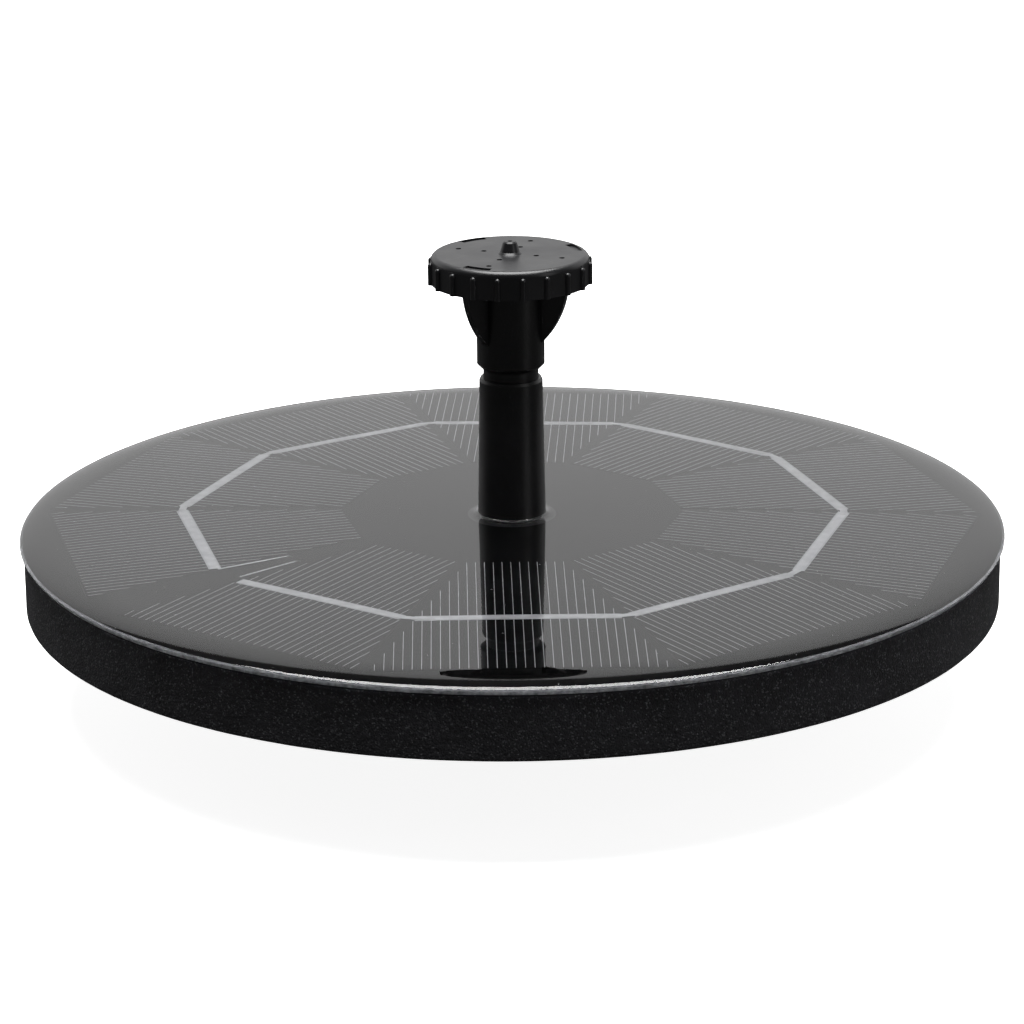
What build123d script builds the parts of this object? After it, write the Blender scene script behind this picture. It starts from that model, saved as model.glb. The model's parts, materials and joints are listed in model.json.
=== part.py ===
from build123d import *
import os
from math import sqrt, sin, cos, radians, pi, tan

# Floating solar fountain with its submersible pump, in millimetres, +Z up.
# Origin: on the pump's flat underside, on the axis of the riser tube, which stands a little
# in front of the round panel's centre. The pump shaft lies along Y, water intake towards -Y.

os.makedirs("parts", exist_ok=True)

# ---------------------------------------------------------------- driving dimensions
overrun = 1.0              # how far joined pieces overlap, and cuts run past a face

# round panel and float
top_height = 31.0          # middle of the resin's top face above the pump's underside
panel_radius = 80.0
disc_offset = 2.1          # the panel's centre lies this far behind the riser's axis
bow_radius = 2344.0        # the panel bows upwards as the resin cures
resin_cover = 0.95         # resin over the board
rim_roll_width = 7.0       # stretch over which the resin rounds down to its rim
rim_roll_drop = 0.9
rim_arcs = 4               # arcs that make the rounded rim
board_thickness = 0.8
board_inset = 0.5          # the resin overhangs the board
tape_thickness = 0.25      # ring of double-sided tape between the board and the foam
tape_width = 15.0
float_inset = 0.6          # tape and foam stand a little further in
float_bottom = 17.5        # height of the foam's flat underside

# solar cells: wedges laid by hand in a ring, with one wider gap for the leads
cell_angles = [235.3, 270.9, 306.1, 342.1, 377.0, 411.9, 447.5, 483.0, 518.2, 553.9]
cell_pitch = 34.9          # angle that each wedge fills, in degrees
cell_gap = 0.8
cell_inner = 26.5          # distance of the wedge's inner edge from the panel's centre
cell_outer = 73.0
cell_thickness = 0.25
ribbon_distance = 51.85    # ribbon's centre line from the panel's centre
ribbon_length = 31.2
ribbon_width = 1.4
ribbon_thickness = 0.15
link_reach = 1.3           # how far a link lies over each ribbon
link_width = 1.2
link_thickness = 0.12
lead_wire_radius = 0.22
lead_ends = [(54.0, 211.4, 41.5, 212.7), (53.2, 217.1, 41.7, 216.5)]  # r, angle, r, angle
lead_tail = 2.2            # bare lead below the board

# riser tube
riser_foot_radius = 5.5
riser_tip_radius = 5.12
riser_bore = 4.5
riser_seat = 22.6          # height of the ledge that the tube stands on
riser_rise = 22.9          # tube above the resin
rim_break = 0.45
taper_start = 0.2          # the tube's taper starts this far above the resin
socket_wall = 1.65
socket_clearance = 0.06

# spray head
spigot_clearance = 0.05
spigot_depth = 7.0
neck_gap = 1.6             # bare neck between the tube and the skirt
skirt_radius = 5.46
skirt_chamfer = 0.8
water_bore = 3.3
cap_base_rise = 38.7       # cap's lower edge above the resin
cap_height = 4.6
cap_flat_radius = 12.85    # corner radius of the cap's flats
cap_ribs = 20
cap_rotation = -81.0       # angle of the first rib
rib_radius = 0.48
rib_top_gap = 1.0
rib_sink = 0.05            # the ribs sit this far inside the corners
cap_wall = 1.25
cap_top_thickness = 1.2
cap_edge_radius = 0.9
cap_lid_overlap = 0.5      # of the rounded lid and the many-sided wall
plate_thickness = 1.4      # disc on the stem that closes the cap from below
plate_recess = 0.25
seal_width = 1.1           # square rubber ring between the plate and the cap's ceiling
seal_clearance = 0.1
plate_clearance = 0.05
fin_angles = [-18.0, 102.0, 222.0]
fin_thickness = 1.5
fin_reach = 9.7
fin_depth = 9.9
fin_bulge_in = 1.2         # middle of the fin's curved edge, in from its reach
fin_bulge_share = 0.52     # and down, as a share of its depth
fin_foot = 0.1             # the fin's foot bites this far into the skirt
spike_height = 2.0
spike_foot = 1.55
spike_tip = 1.1
spike_hole = 0.4
spike_flare = 0.35
spike_bevel = 0.2
spray_hole = 0.45
spray_rings = [4.5, 8.9]
holes_per_ring = 4
spray_start = -112.0
mark_angles = [-118.0, 19.0, 123.0]
mark_radius = 11.0
mark_length = 4.6
mark_width = 1.3
mark_depth = 0.3

# pump
shaft_height = 11.5
pump_half_width = 15.0
pump_front = -7.0
pump_back = 24.0
pump_top = 23.0
pump_corner = 3.5
pump_wall = 1.8
chamber_radius = 9.5
chamber_front = -4.5
chamber_back = 4.0
bulkhead = 1.5             # wall between the chamber and the motor
well_radius = 5.2
well_end = 19.2
can_wall = 0.8
flange_radius = 13.0
flange_thickness = 1.9
bond_thickness = 0.25
float_fit = 0.6            # foam cut-out around the pump

# motor
stator_inner = 6.1
yoke_inner = 8.5
yoke_outer = 9.6
pole_count = 4
pole_width = 2.4
pole_shift = 0.2           # the poles run this far into the yoke
shoe_width = 5.0
shoe_thickness = 0.6
stator_front = 7.2
stator_back = 16.8
coil_width = 5.4
coil_overhang = 0.9
coil_clearance = 0.1
coil_shoe_gap = 0.4
coil_corner = 0.8
driver_width = 24.0
driver_height = 17.0
driver_thickness = 1.0
driver_corner = 1.0
driver_gap = 0.1
chip_height = 0.9
chip_layout = [            # width, length, places
    (5.0, 4.0, [(0.0, 0.0)]),
    (3.0, 1.6, [(-7.5, -3.5), (-7.5, 3.5)]),
    (2.0, 1.2, [(7.0, -4.0), (7.0, 0.0), (7.0, 4.0)]),
]
sealing_recess = 0.6

# rotor
shaft_radius = 1.0
shaft_front = -6.4
shaft_chamfer = 0.2
running_clearance = 0.05
sleeve_radius = 2.0
magnet_radius = 4.8
magnet_front = 4.6
magnet_back = 17.0
magnet_chamfer = 0.4
impeller_radius = 8.2
impeller_front = -3.4
shroud_back = 3.1
shroud_thickness = 0.9
blade_count = 6
blade_thickness = 1.0
blade_inner = 3.4
blade_root_height = 1.5    # the low part of a blade that reaches the sleeve
rear_bush_radius = 2.6
rear_bush_length = 1.5
front_bush_radius = 1.9
front_bush_length = 2.4
end_float = 0.35

# chamber cover
cover_width = 26.0
cover_height = 20.4
cover_corner = 3.0
cover_flange = 1.5
plug_clearance = 0.05
eye_radius = 5.2
hub_radius = 2.9
spider_arms = 3
spider_arm = 1.2
spider_depth = 2.2
o_ring_radius = 0.5
cover_screws = [(-11.0, -8.0), (11.0, -8.0), (-11.0, 8.0), (11.0, 8.0)]
screw_radius = 0.9
screw_head_radius = 1.8
screw_head_height = 1.0
screw_length = 5.0
slot_width = 0.5
slot_depth = 0.5

# intake grille and sponge
grille_half_width = 14.6
grille_bottom = 0.5
grille_clearance = 0.6     # between the grille's top and the foam's underside
grille_depth = 12.0
grille_gap = 0.2
grille_wall = 1.2
grille_corner = 2.5
grille_edge_radius = 1.0
grille_slots = 8
grille_slot_width = 1.5
grille_slot_pitch = 3.2
side_slots = 3
arm_length = 8.0
arm_height = 6.0
arm_thickness = 1.2
arm_clearance = 0.2
arm_drop = 2.0             # the arms lie this far below the shaft
arm_root = 3.0
sponge_clearance = 0.4
sponge_back_gap = 2.2
sponge_corner = 0.8

# supply leads
wire_radius = 0.65
wire_spacing = 1.7
gland_radius = 2.4
gland_length = 3.2
gland_height = 18.2
gland_y = 15.0
gland_neck_radius = 1.8
gland_tip_radius = 1.9
wire_tail = 2.0            # lead inside the motor cavity
solder_radius = 1.0
wire_bend = 4.0            # the leads' bends: into the pocket, and into the gland
gland_bend = 1.4
channel_width = 5.5
channel_depth = 9.6
pocket_length = 13.0       # pocket in the foam beside the gland
pocket_width = 7.2


# ---------------------------------------------------------------- shared geometry
def bow(r):
    """Height lost to the panel's bow at radius r: a sphere of radius bow_radius."""
    return bow_radius - sqrt(bow_radius ** 2 - r ** 2)


def rim_point(turn):
    """Point on the resin's rounded rim: an elliptical quarter added to the bow."""
    r = panel_radius - rim_roll_width * (1 - sin(turn))
    return (r, top_height - bow(r) - rim_roll_drop * (1 - cos(turn)))


def bow_arc(r1, r2, level):
    """Arc of the bowed surface that passes at height level over the axis."""
    middle = (r1 + r2) / 2
    return ThreePointArc((r1, level - bow(r1)), (middle, level - bow(middle)), (r2, level - bow(r2)))


def polar(r, angle):
    return (r * cos(radians(angle)), r * sin(radians(angle)))


def on_disc(r, angle):
    """Plan position at polar coordinates about the panel's centre."""
    x, y = polar(r, angle)
    return (x, y + disc_offset)


def bow_at(point):
    """The panel's bow at a plan position."""
    x, y = point
    return bow(sqrt(x ** 2 + (y - disc_offset) ** 2))


board_top = top_height - resin_cover
board_bottom = board_top - board_thickness
tape_bottom = board_bottom - tape_thickness
cell_top = board_top + cell_thickness
ribbon_top = cell_top + ribbon_thickness
board_radius = panel_radius - board_inset
float_radius = panel_radius - float_inset
socket_bore = riser_foot_radius + socket_clearance
socket_radius = socket_bore + socket_wall
disc_axis = Axis((0, disc_offset, 0), (0, 0, 1))
disc_section = Plane(origin=(0, disc_offset, 0), x_dir=(1, 0, 0), z_dir=(0, -1, 0))


def bowed_layer(outer, low, high):
    """Round sheet about the panel's centre, between two levels of the bowed surface."""
    with BuildPart() as layer:
        with BuildSketch(disc_section):
            with BuildLine():
                bow_arc(0, outer, low)
                Line((outer, low - bow(outer)), (outer, high - bow(outer)))
                bow_arc(outer, 0, high)
                Line((0, high), (0, low))
            make_face()
        revolve(axis=disc_axis)
    return layer.part


def cell_plane(angle):
    """Plane at the panel's centre with its x axis along one cell's centre line."""
    return Plane(origin=(0, disc_offset, 0), x_dir=(*polar(1, angle), 0), z_dir=(0, 0, 1))


def save(part, name):
    part.label = name
    export_step(part, "parts/" + name + ".step")


# ---------------------------------------------------------------- solar panel
cell_layer = bowed_layer(board_radius, board_top, cell_top)
half_angle = tan(radians(cell_pitch / 2))
cells = []
for number, angle in enumerate(cell_angles, start=1):
    near = cell_inner * half_angle - cell_gap / 2
    far = cell_outer * half_angle - cell_gap / 2
    with BuildPart() as cell:
        with BuildSketch(cell_plane(angle)):
            with BuildLine():
                Polyline((cell_inner, -near), (cell_outer, -far), (cell_outer, far),
                         (cell_inner, near), close=True)
            make_face()
        extrude(amount=2 * top_height)
        add(cell_layer, mode=Mode.INTERSECT)
    cells.append(cell.part)
    save(cell.part, f"solar_cell_{number:02d}")

ribbon_layer = bowed_layer(board_radius, cell_top, ribbon_top)
with BuildPart() as tabbing_ribbons:
    for angle in cell_angles:
        with BuildSketch(cell_plane(angle)):
            with Locations((ribbon_distance, 0)):
                Rectangle(ribbon_width, ribbon_length)
        extrude(amount=2 * top_height)
    add(ribbon_layer, mode=Mode.INTERSECT)
save(tabbing_ribbons.part, "tabbing_ribbons")

# each link is a bent strip soldered over the ends of two neighbouring ribbons
link_layer = bowed_layer(board_radius, ribbon_top, ribbon_top + link_thickness)
with BuildPart() as ribbon_links:
    for first, second in zip(cell_angles, cell_angles[1:]):
        tip_a = cell_plane(first).from_local_coords(Vector(ribbon_distance, ribbon_length / 2))
        tip_b = cell_plane(second).from_local_coords(Vector(ribbon_distance, -ribbon_length / 2))
        back_a = cell_plane(first).from_local_coords(
            Vector(ribbon_distance, ribbon_length / 2 - link_reach))
        back_b = cell_plane(second).from_local_coords(
            Vector(ribbon_distance, link_reach - ribbon_length / 2))
        with BuildSketch(Plane.XY):
            with BuildLine():
                Polyline(*[(p.X, p.Y) for p in (back_a, tip_a, tip_b, back_b)])
            trace(line_width=link_width)
        extrude(amount=2 * top_height)
    add(link_layer, mode=Mode.INTERSECT)
save(ribbon_links.part, "ribbon_links")

# two bare leads run inwards from the open ends of the string and down through the board
lead_drops = []
lead_level = ribbon_top + lead_wire_radius
with BuildPart() as panel_leads:
    for r_out, angle_out, r_in, angle_in in lead_ends:
        start = on_disc(r_out, angle_out)
        turn = on_disc(r_in, angle_in)
        lead_drops.append(turn)
        start_z = lead_level - bow_at(start)
        turn_z = lead_level - bow_at(turn)
        with BuildLine() as path:
            FilletPolyline(
                (*start, start_z),
                (*turn, turn_z),
                (*turn, board_bottom - bow_at(turn) - lead_tail),
                radius=4 * lead_wire_radius,
            )
        with BuildSketch(Plane(origin=path.line @ 0, z_dir=path.line % 0)):
            Circle(lead_wire_radius)
        sweep(path=path.line)
save(panel_leads.part, "panel_leads")

with BuildPart() as backing_board:
    add(bowed_layer(board_radius, board_bottom, board_top))
    with BuildSketch():
        Circle(socket_radius)
        with Locations(*lead_drops):
            Circle(lead_wire_radius)
    extrude(amount=2 * top_height, mode=Mode.SUBTRACT)
save(backing_board.part, "backing_board")

# the clear resin fills everything above the board and rounds off at its own rim
with BuildPart() as resin_dome:
    with BuildSketch(disc_section):
        with BuildLine():
            bow_arc(0, panel_radius, board_top)
            rim = [rim_point(pi / 2 * step / (2 * rim_arcs)) for step in range(2 * rim_arcs + 1)]
            Line((panel_radius, board_top - bow(panel_radius)), rim[-1])
            for end in range(2 * rim_arcs, 0, -2):
                ThreePointArc(rim[end], rim[end - 1], rim[end - 2])
            bow_arc(rim[0][0], 0, top_height)
            Line((0, top_height), (0, board_top))
        make_face()
    revolve(axis=disc_axis)
    with BuildSketch():
        Circle(socket_bore)
    extrude(amount=2 * top_height, mode=Mode.SUBTRACT)
    for piece in cells:
        add(piece, mode=Mode.SUBTRACT)
    add(tabbing_ribbons.part, mode=Mode.SUBTRACT)
    add(ribbon_links.part, mode=Mode.SUBTRACT)
    add(panel_leads.part, mode=Mode.SUBTRACT)
save(resin_dome.part, "resin_dome")

# ---------------------------------------------------------------- pump body
pump_length = pump_back - pump_front
pump_middle = (pump_front + pump_back) / 2
flange_top = board_bottom - bow(flange_radius + disc_offset) - bond_thickness
cavity_front = chamber_back + bulkhead
can_radius = well_radius + can_wall


def across(y):
    """Plane square to the pump shaft at y, looking backwards: x to the right, y downwards."""
    return Plane(origin=(0, y, shaft_height), x_dir=(1, 0, 0), z_dir=(0, 1, 0))


cavity_low = pump_wall
cavity_high = pump_top - pump_wall
cavity_middle = shaft_height - (cavity_low + cavity_high) / 2

with BuildPart() as pump_body:
    with BuildSketch(Plane.XY):
        with Locations((0, pump_middle)):
            RectangleRounded(2 * pump_half_width, pump_length, pump_corner)
    extrude(amount=pump_top)
    fillet(pump_body.faces().sort_by(Axis.Z)[-1].edges(), radius=pump_corner / 2)
    with BuildSketch(Plane.XY.offset(pump_top - overrun)):
        Circle(socket_radius)
    extrude(amount=board_top - bow(socket_radius + disc_offset) - pump_top + overrun)
    with BuildSketch(Plane.XY.offset(flange_top)):
        Circle(flange_radius)
    extrude(amount=-flange_thickness)
    # impeller chamber, open at the front, and the blind well for the rotor
    with BuildSketch(across(pump_front)):
        Circle(chamber_radius)
    extrude(amount=chamber_back - pump_front, mode=Mode.SUBTRACT)
    with BuildSketch(across(chamber_back)):
        Circle(well_radius)
    extrude(amount=well_end - chamber_back, mode=Mode.SUBTRACT)
    # motor cavity, open at the back, around the rotor can
    with BuildSketch(across(cavity_front)):
        with Locations((0, cavity_middle)):
            RectangleRounded(2 * (pump_half_width - pump_wall), cavity_high - cavity_low, pump_wall)
        Circle(can_radius, mode=Mode.SUBTRACT)
    extrude(amount=well_end + can_wall - cavity_front, mode=Mode.SUBTRACT)
    with BuildSketch(across(well_end + can_wall)):
        with Locations((0, cavity_middle)):
            RectangleRounded(2 * (pump_half_width - pump_wall), cavity_high - cavity_low, pump_wall)
    extrude(amount=pump_back - well_end - can_wall, mode=Mode.SUBTRACT)
    # water way from the chamber up into the riser's socket
    with BuildSketch(Plane.XY.offset(riser_seat)):
        Circle(socket_bore)
    extrude(amount=top_height - riser_seat, mode=Mode.SUBTRACT)
    with BuildSketch(Plane.XY.offset(shaft_height)):
        Circle(water_bore)
    extrude(amount=top_height - shaft_height, mode=Mode.SUBTRACT)
    # pilot holes for the cover screws
    with BuildSketch(across(pump_front)):
        with Locations(*cover_screws):
            Circle(screw_radius)
    extrude(amount=screw_length - cover_flange, mode=Mode.SUBTRACT)
    # hole for the cable gland in the left wall
    with BuildSketch(Plane.YZ.offset(-pump_half_width - overrun)):
        with Locations((gland_y, gland_height)):
            Circle(gland_neck_radius)
    extrude(amount=pump_wall + overrun, mode=Mode.SUBTRACT)
save(pump_body.part, "pump_body")

with BuildPart() as bond_layer:
    with BuildSketch(Plane.XY.offset(flange_top)):
        Circle(flange_radius)
        Circle(socket_radius, mode=Mode.SUBTRACT)
    extrude(amount=top_height - flange_top)
    add(bowed_layer(board_radius, float_bottom, board_bottom), mode=Mode.INTERSECT)
save(bond_layer.part, "bond_layer")

# ---------------------------------------------------------------- float ring
cut_front = pump_front - cover_flange - screw_head_height - float_fit
cut_back = pump_back + float_fit
pocket_middle = -pump_half_width - pocket_width / 2
pocket_front = gland_y + gland_radius + float_fit - pocket_length
drop_middle = ((lead_drops[0][0] + lead_drops[1][0]) / 2, (lead_drops[0][1] + lead_drops[1][1]) / 2)


# the pump's place, its flange's recess, and the leads' pocket and channel
with BuildPart() as float_openings:
    with BuildSketch(Plane.XY.offset(float_bottom)):
        with Locations((0, (cut_front + cut_back) / 2)):
            RectangleRounded(2 * (pump_half_width + float_fit), cut_back - cut_front, pump_corner)
        with Locations((pocket_middle, pocket_front + pocket_length / 2)):
            Rectangle(pocket_width, pocket_length)
    extrude(amount=top_height)
    with BuildSketch(Plane.XY.offset(flange_top - flange_thickness - float_fit)):
        Circle(flange_radius + float_fit)
    extrude(amount=top_height)
    with BuildSketch(Plane.XY.offset(tape_bottom - channel_depth)):
        with BuildLine():
            Line(drop_middle, (pocket_middle, pocket_front))
        trace(line_width=channel_width)
        with Locations(drop_middle, (pocket_middle, pocket_front)):
            Circle(channel_width / 2)
    extrude(amount=top_height)

tape_inner = float_radius - tape_width
with BuildPart() as foam_tape:
    with BuildSketch(disc_section):
        with BuildLine():
            bow_arc(tape_inner, float_radius, tape_bottom)
            Line((float_radius, tape_bottom - bow(float_radius)),
                 (float_radius, board_bottom - bow(float_radius)))
            bow_arc(float_radius, tape_inner, board_bottom)
            Line((tape_inner, board_bottom - bow(tape_inner)),
                 (tape_inner, tape_bottom - bow(tape_inner)))
        make_face()
    revolve(axis=disc_axis)
save(foam_tape.part, "foam_tape")

with BuildPart() as float_ring:
    with BuildSketch(disc_section):
        with BuildLine():
            Line((0, float_bottom), (float_radius, float_bottom))
            Line((float_radius, float_bottom), (float_radius, tape_bottom - bow(float_radius)))
            bow_arc(float_radius, 0, tape_bottom)
            Line((0, tape_bottom), (0, float_bottom))
        make_face()
    revolve(axis=disc_axis)
    add(float_openings.part, mode=Mode.SUBTRACT)
save(float_ring.part, "float_ring")

# ---------------------------------------------------------------- motor
with BuildPart() as stator_core:
    with BuildSketch(across(stator_front)):
        Circle(yoke_outer)
        Circle(yoke_inner, mode=Mode.SUBTRACT)
        with PolarLocations((stator_inner + yoke_inner) / 2 + pole_shift, pole_count):
            Rectangle(yoke_inner - stator_inner, pole_width)
        with PolarLocations(stator_inner + shoe_thickness / 2, pole_count):
            Rectangle(shoe_thickness, shoe_width)
        Circle(stator_inner, mode=Mode.SUBTRACT)
    extrude(amount=stator_back - stator_front)
save(stator_core.part, "stator_core")

coil_low = stator_inner + shoe_thickness + coil_shoe_gap
coil_high = sqrt(yoke_inner ** 2 - (coil_width / 2) ** 2) - coil_clearance
stack_length = stator_back - stator_front
with BuildPart() as stator_coils:
    for pole in range(pole_count):
        out = Vector(1, 0, 0).rotate(Axis.Y, 90 * pole)
        plane = Plane(
            origin=Vector(0, (stator_front + stator_back) / 2, shaft_height) + out * coil_low,
            x_dir=(0, 1, 0),
            z_dir=out,
        )
        with BuildSketch(plane):
            RectangleRounded(stack_length + 2 * (coil_clearance + coil_overhang), coil_width,
                             coil_corner)
            Rectangle(stack_length + 2 * coil_clearance, pole_width + 2 * coil_clearance,
                      mode=Mode.SUBTRACT)
        extrude(amount=coil_high - coil_low)
save(stator_coils.part, "stator_coils")

driver_front = well_end + can_wall + driver_gap
driver_back = driver_front + driver_thickness
with BuildPart() as driver_board:
    with BuildSketch(across(driver_front)):
        RectangleRounded(driver_width, driver_height, driver_corner)
    extrude(amount=driver_thickness)
save(driver_board.part, "driver_board")

with BuildPart() as driver_chips:
    with BuildSketch(across(driver_back)):
        for chip_width, chip_length, places in chip_layout:
            with Locations(*places):
                Rectangle(chip_width, chip_length)
    extrude(amount=chip_height)
save(driver_chips.part, "driver_chips")

# ---------------------------------------------------------------- supply leads and gland
gland_face = -pump_half_width
gland_outer = gland_face - gland_length
wire_x = gland_outer - gland_bend
wire_heights = [gland_height - wire_spacing / 2, gland_height + wire_spacing / 2]
wire_starts = [(*drop, board_bottom - bow_at(drop) - lead_tail) for drop in lead_drops]
with BuildPart() as supply_leads:
    for start, level in zip(wire_starts, wire_heights):
        with BuildLine() as path:
            FilletPolyline(
                start,
                (wire_x, gland_y - 3 * wire_bend, level + wire_bend),
                (wire_x, gland_y, level),
                (-pump_half_width + pump_wall + wire_tail, gland_y, level),
                radius=[wire_bend, gland_bend],
            )
        with BuildSketch(Plane(origin=path.line @ 0, z_dir=path.line % 0)):
            Circle(wire_radius)
        sweep(path=path.line)
    add(panel_leads.part, mode=Mode.SUBTRACT)
save(supply_leads.part, "supply_leads")

with BuildPart() as solder_joints:
    with Locations(*wire_starts):
        Sphere(solder_radius)
    add(supply_leads.part, mode=Mode.SUBTRACT)
    add(panel_leads.part, mode=Mode.SUBTRACT)
save(solder_joints.part, "solder_joints")

with BuildPart() as cable_gland:
    with BuildSketch(Plane.YZ.offset(gland_outer)):
        with Locations((gland_y, gland_height)):
            Circle(gland_tip_radius)
    with BuildSketch(Plane.YZ.offset(gland_face)):
        with Locations((gland_y, gland_height)):
            Circle(gland_radius)
    loft()
    with BuildSketch(Plane.YZ.offset(gland_face)):
        with Locations((gland_y, gland_height)):
            Circle(gland_neck_radius)
    extrude(amount=pump_wall)
    add(supply_leads.part, mode=Mode.SUBTRACT)
save(cable_gland.part, "cable_gland")

# ---------------------------------------------------------------- potting around the motor
with BuildPart() as potting:
    with BuildSketch(across(cavity_front)):
        with Locations((0, cavity_middle)):
            RectangleRounded(2 * (pump_half_width - pump_wall), cavity_high - cavity_low, pump_wall)
    extrude(amount=pump_back - sealing_recess - cavity_front)
    with BuildSketch(across(cavity_front)):
        Circle(can_radius)
    extrude(amount=well_end + can_wall - cavity_front, mode=Mode.SUBTRACT)
    for piece in (stator_core, stator_coils, driver_board, driver_chips, supply_leads):
        add(piece.part, mode=Mode.SUBTRACT)
save(potting.part, "potting")

# ---------------------------------------------------------------- shaft, bushes and rotor
rear_bush_front = well_end - rear_bush_length
with BuildPart() as shaft:
    with BuildSketch(across(shaft_front)):
        Circle(shaft_radius)
    extrude(amount=well_end - shaft_front)
    chamfer(shaft.edges().filter_by(GeomType.CIRCLE), length=shaft_chamfer)
save(shaft.part, "shaft")

with BuildPart() as rear_bush:
    with BuildSketch(across(rear_bush_front)):
        Circle(rear_bush_radius)
        Circle(shaft_radius, mode=Mode.SUBTRACT)
    extrude(amount=rear_bush_length)
save(rear_bush.part, "rear_bush")

front_bush_back = impeller_front - end_float
with BuildPart() as front_bush:
    with BuildSketch(across(front_bush_back)):
        Circle(front_bush_radius)
        Circle(shaft_radius, mode=Mode.SUBTRACT)
    extrude(amount=-front_bush_length)
save(front_bush.part, "front_bush")

with BuildPart() as rotor_magnet:
    with BuildSketch(across(magnet_front)):
        Circle(magnet_radius)
        Circle(sleeve_radius, mode=Mode.SUBTRACT)
    extrude(amount=magnet_back - magnet_front)
    chamfer(rotor_magnet.edges().filter_by(GeomType.CIRCLE).filter_by(
        lambda e: e.radius > (sleeve_radius + magnet_radius) / 2), length=magnet_chamfer)
save(rotor_magnet.part, "rotor_magnet")

with BuildPart() as impeller:
    with BuildSketch(across(impeller_front)):
        Circle(sleeve_radius)
    extrude(amount=rear_bush_front - end_float - impeller_front)
    with BuildSketch(across(shroud_back)):
        Circle(impeller_radius)
    extrude(amount=-shroud_thickness)
    with BuildSketch(across(impeller_front)):
        with PolarLocations((blade_inner + impeller_radius) / 2, blade_count):
            Rectangle(impeller_radius - blade_inner, blade_thickness)
    extrude(amount=shroud_back - shroud_thickness - impeller_front)
    with BuildSketch(across(shroud_back - shroud_thickness)):
        with PolarLocations((sleeve_radius + blade_inner) / 2, blade_count):
            Rectangle(blade_inner - sleeve_radius + overrun, blade_thickness)
    extrude(amount=-blade_root_height)
    with BuildSketch(across(impeller_front)):
        Circle(shaft_radius + running_clearance)
    extrude(amount=well_end - impeller_front, mode=Mode.SUBTRACT)
save(impeller.part, "impeller")

# ---------------------------------------------------------------- chamber cover
cover_front = pump_front - cover_flange
groove_y = (pump_front + chamber_front) / 2
plug_radius = chamber_radius - plug_clearance
with BuildPart() as chamber_cover:
    with BuildSketch(across(cover_front)):
        RectangleRounded(cover_width, cover_height, cover_corner)
    extrude(amount=cover_flange)
    with BuildSketch(across(pump_front)):
        Circle(plug_radius)
    extrude(amount=chamber_front - pump_front)
    with BuildSketch(across(cover_front)):
        Circle(eye_radius)
    extrude(amount=chamber_front - cover_front, mode=Mode.SUBTRACT)
    # spider: three arms carry the hub that seats the front bush
    with BuildSketch(across(cover_front)):
        Circle(hub_radius)
        with PolarLocations((hub_radius + eye_radius) / 2, spider_arms, start_angle=90):
            Rectangle(eye_radius - hub_radius + overrun, spider_arm)
    extrude(amount=spider_depth)
    with BuildSketch(across(cover_front + spider_depth)):
        Circle(hub_radius)
    extrude(amount=front_bush_back - cover_front - spider_depth)
    with BuildSketch(across(front_bush_back)):
        Circle(front_bush_radius)
    extrude(amount=-front_bush_length, mode=Mode.SUBTRACT)
    with BuildSketch(across(front_bush_back)):
        Circle(shaft_radius)
    extrude(amount=shaft_front - front_bush_back, mode=Mode.SUBTRACT)
    # groove for the sealing ring, and the screw holes
    with BuildSketch(across(groove_y - o_ring_radius)):
        Circle(chamber_radius + overrun)
        Circle(chamber_radius - 2 * o_ring_radius, mode=Mode.SUBTRACT)
    extrude(amount=2 * o_ring_radius, mode=Mode.SUBTRACT)
    with BuildSketch(across(cover_front)):
        with Locations(*cover_screws):
            Circle(screw_radius)
    extrude(amount=cover_flange, mode=Mode.SUBTRACT)
save(chamber_cover.part, "chamber_cover")

with BuildPart() as chamber_o_ring:
    with BuildSketch(Plane(origin=(0, 0, shaft_height), x_dir=(1, 0, 0), z_dir=(0, 0, 1))):
        with Locations((chamber_radius - o_ring_radius, groove_y)):
            Circle(o_ring_radius)
    revolve(axis=Axis((0, 0, shaft_height), (0, 1, 0)))
save(chamber_o_ring.part, "chamber_o_ring")

with BuildPart() as cover_screw_set:
    with BuildSketch(across(cover_front)):
        with Locations(*cover_screws):
            Circle(screw_head_radius)
    extrude(amount=-screw_head_height)
    with BuildSketch(across(cover_front)):
        with Locations(*cover_screws):
            Circle(screw_radius)
    extrude(amount=screw_length)
    with BuildSketch(across(cover_front - screw_head_height)):
        with Locations(*cover_screws):
            Rectangle(2 * screw_head_radius, slot_width)
            Rectangle(slot_width, 2 * screw_head_radius)
    extrude(amount=slot_depth, mode=Mode.SUBTRACT)
save(cover_screw_set.part, "cover_screws")

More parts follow.
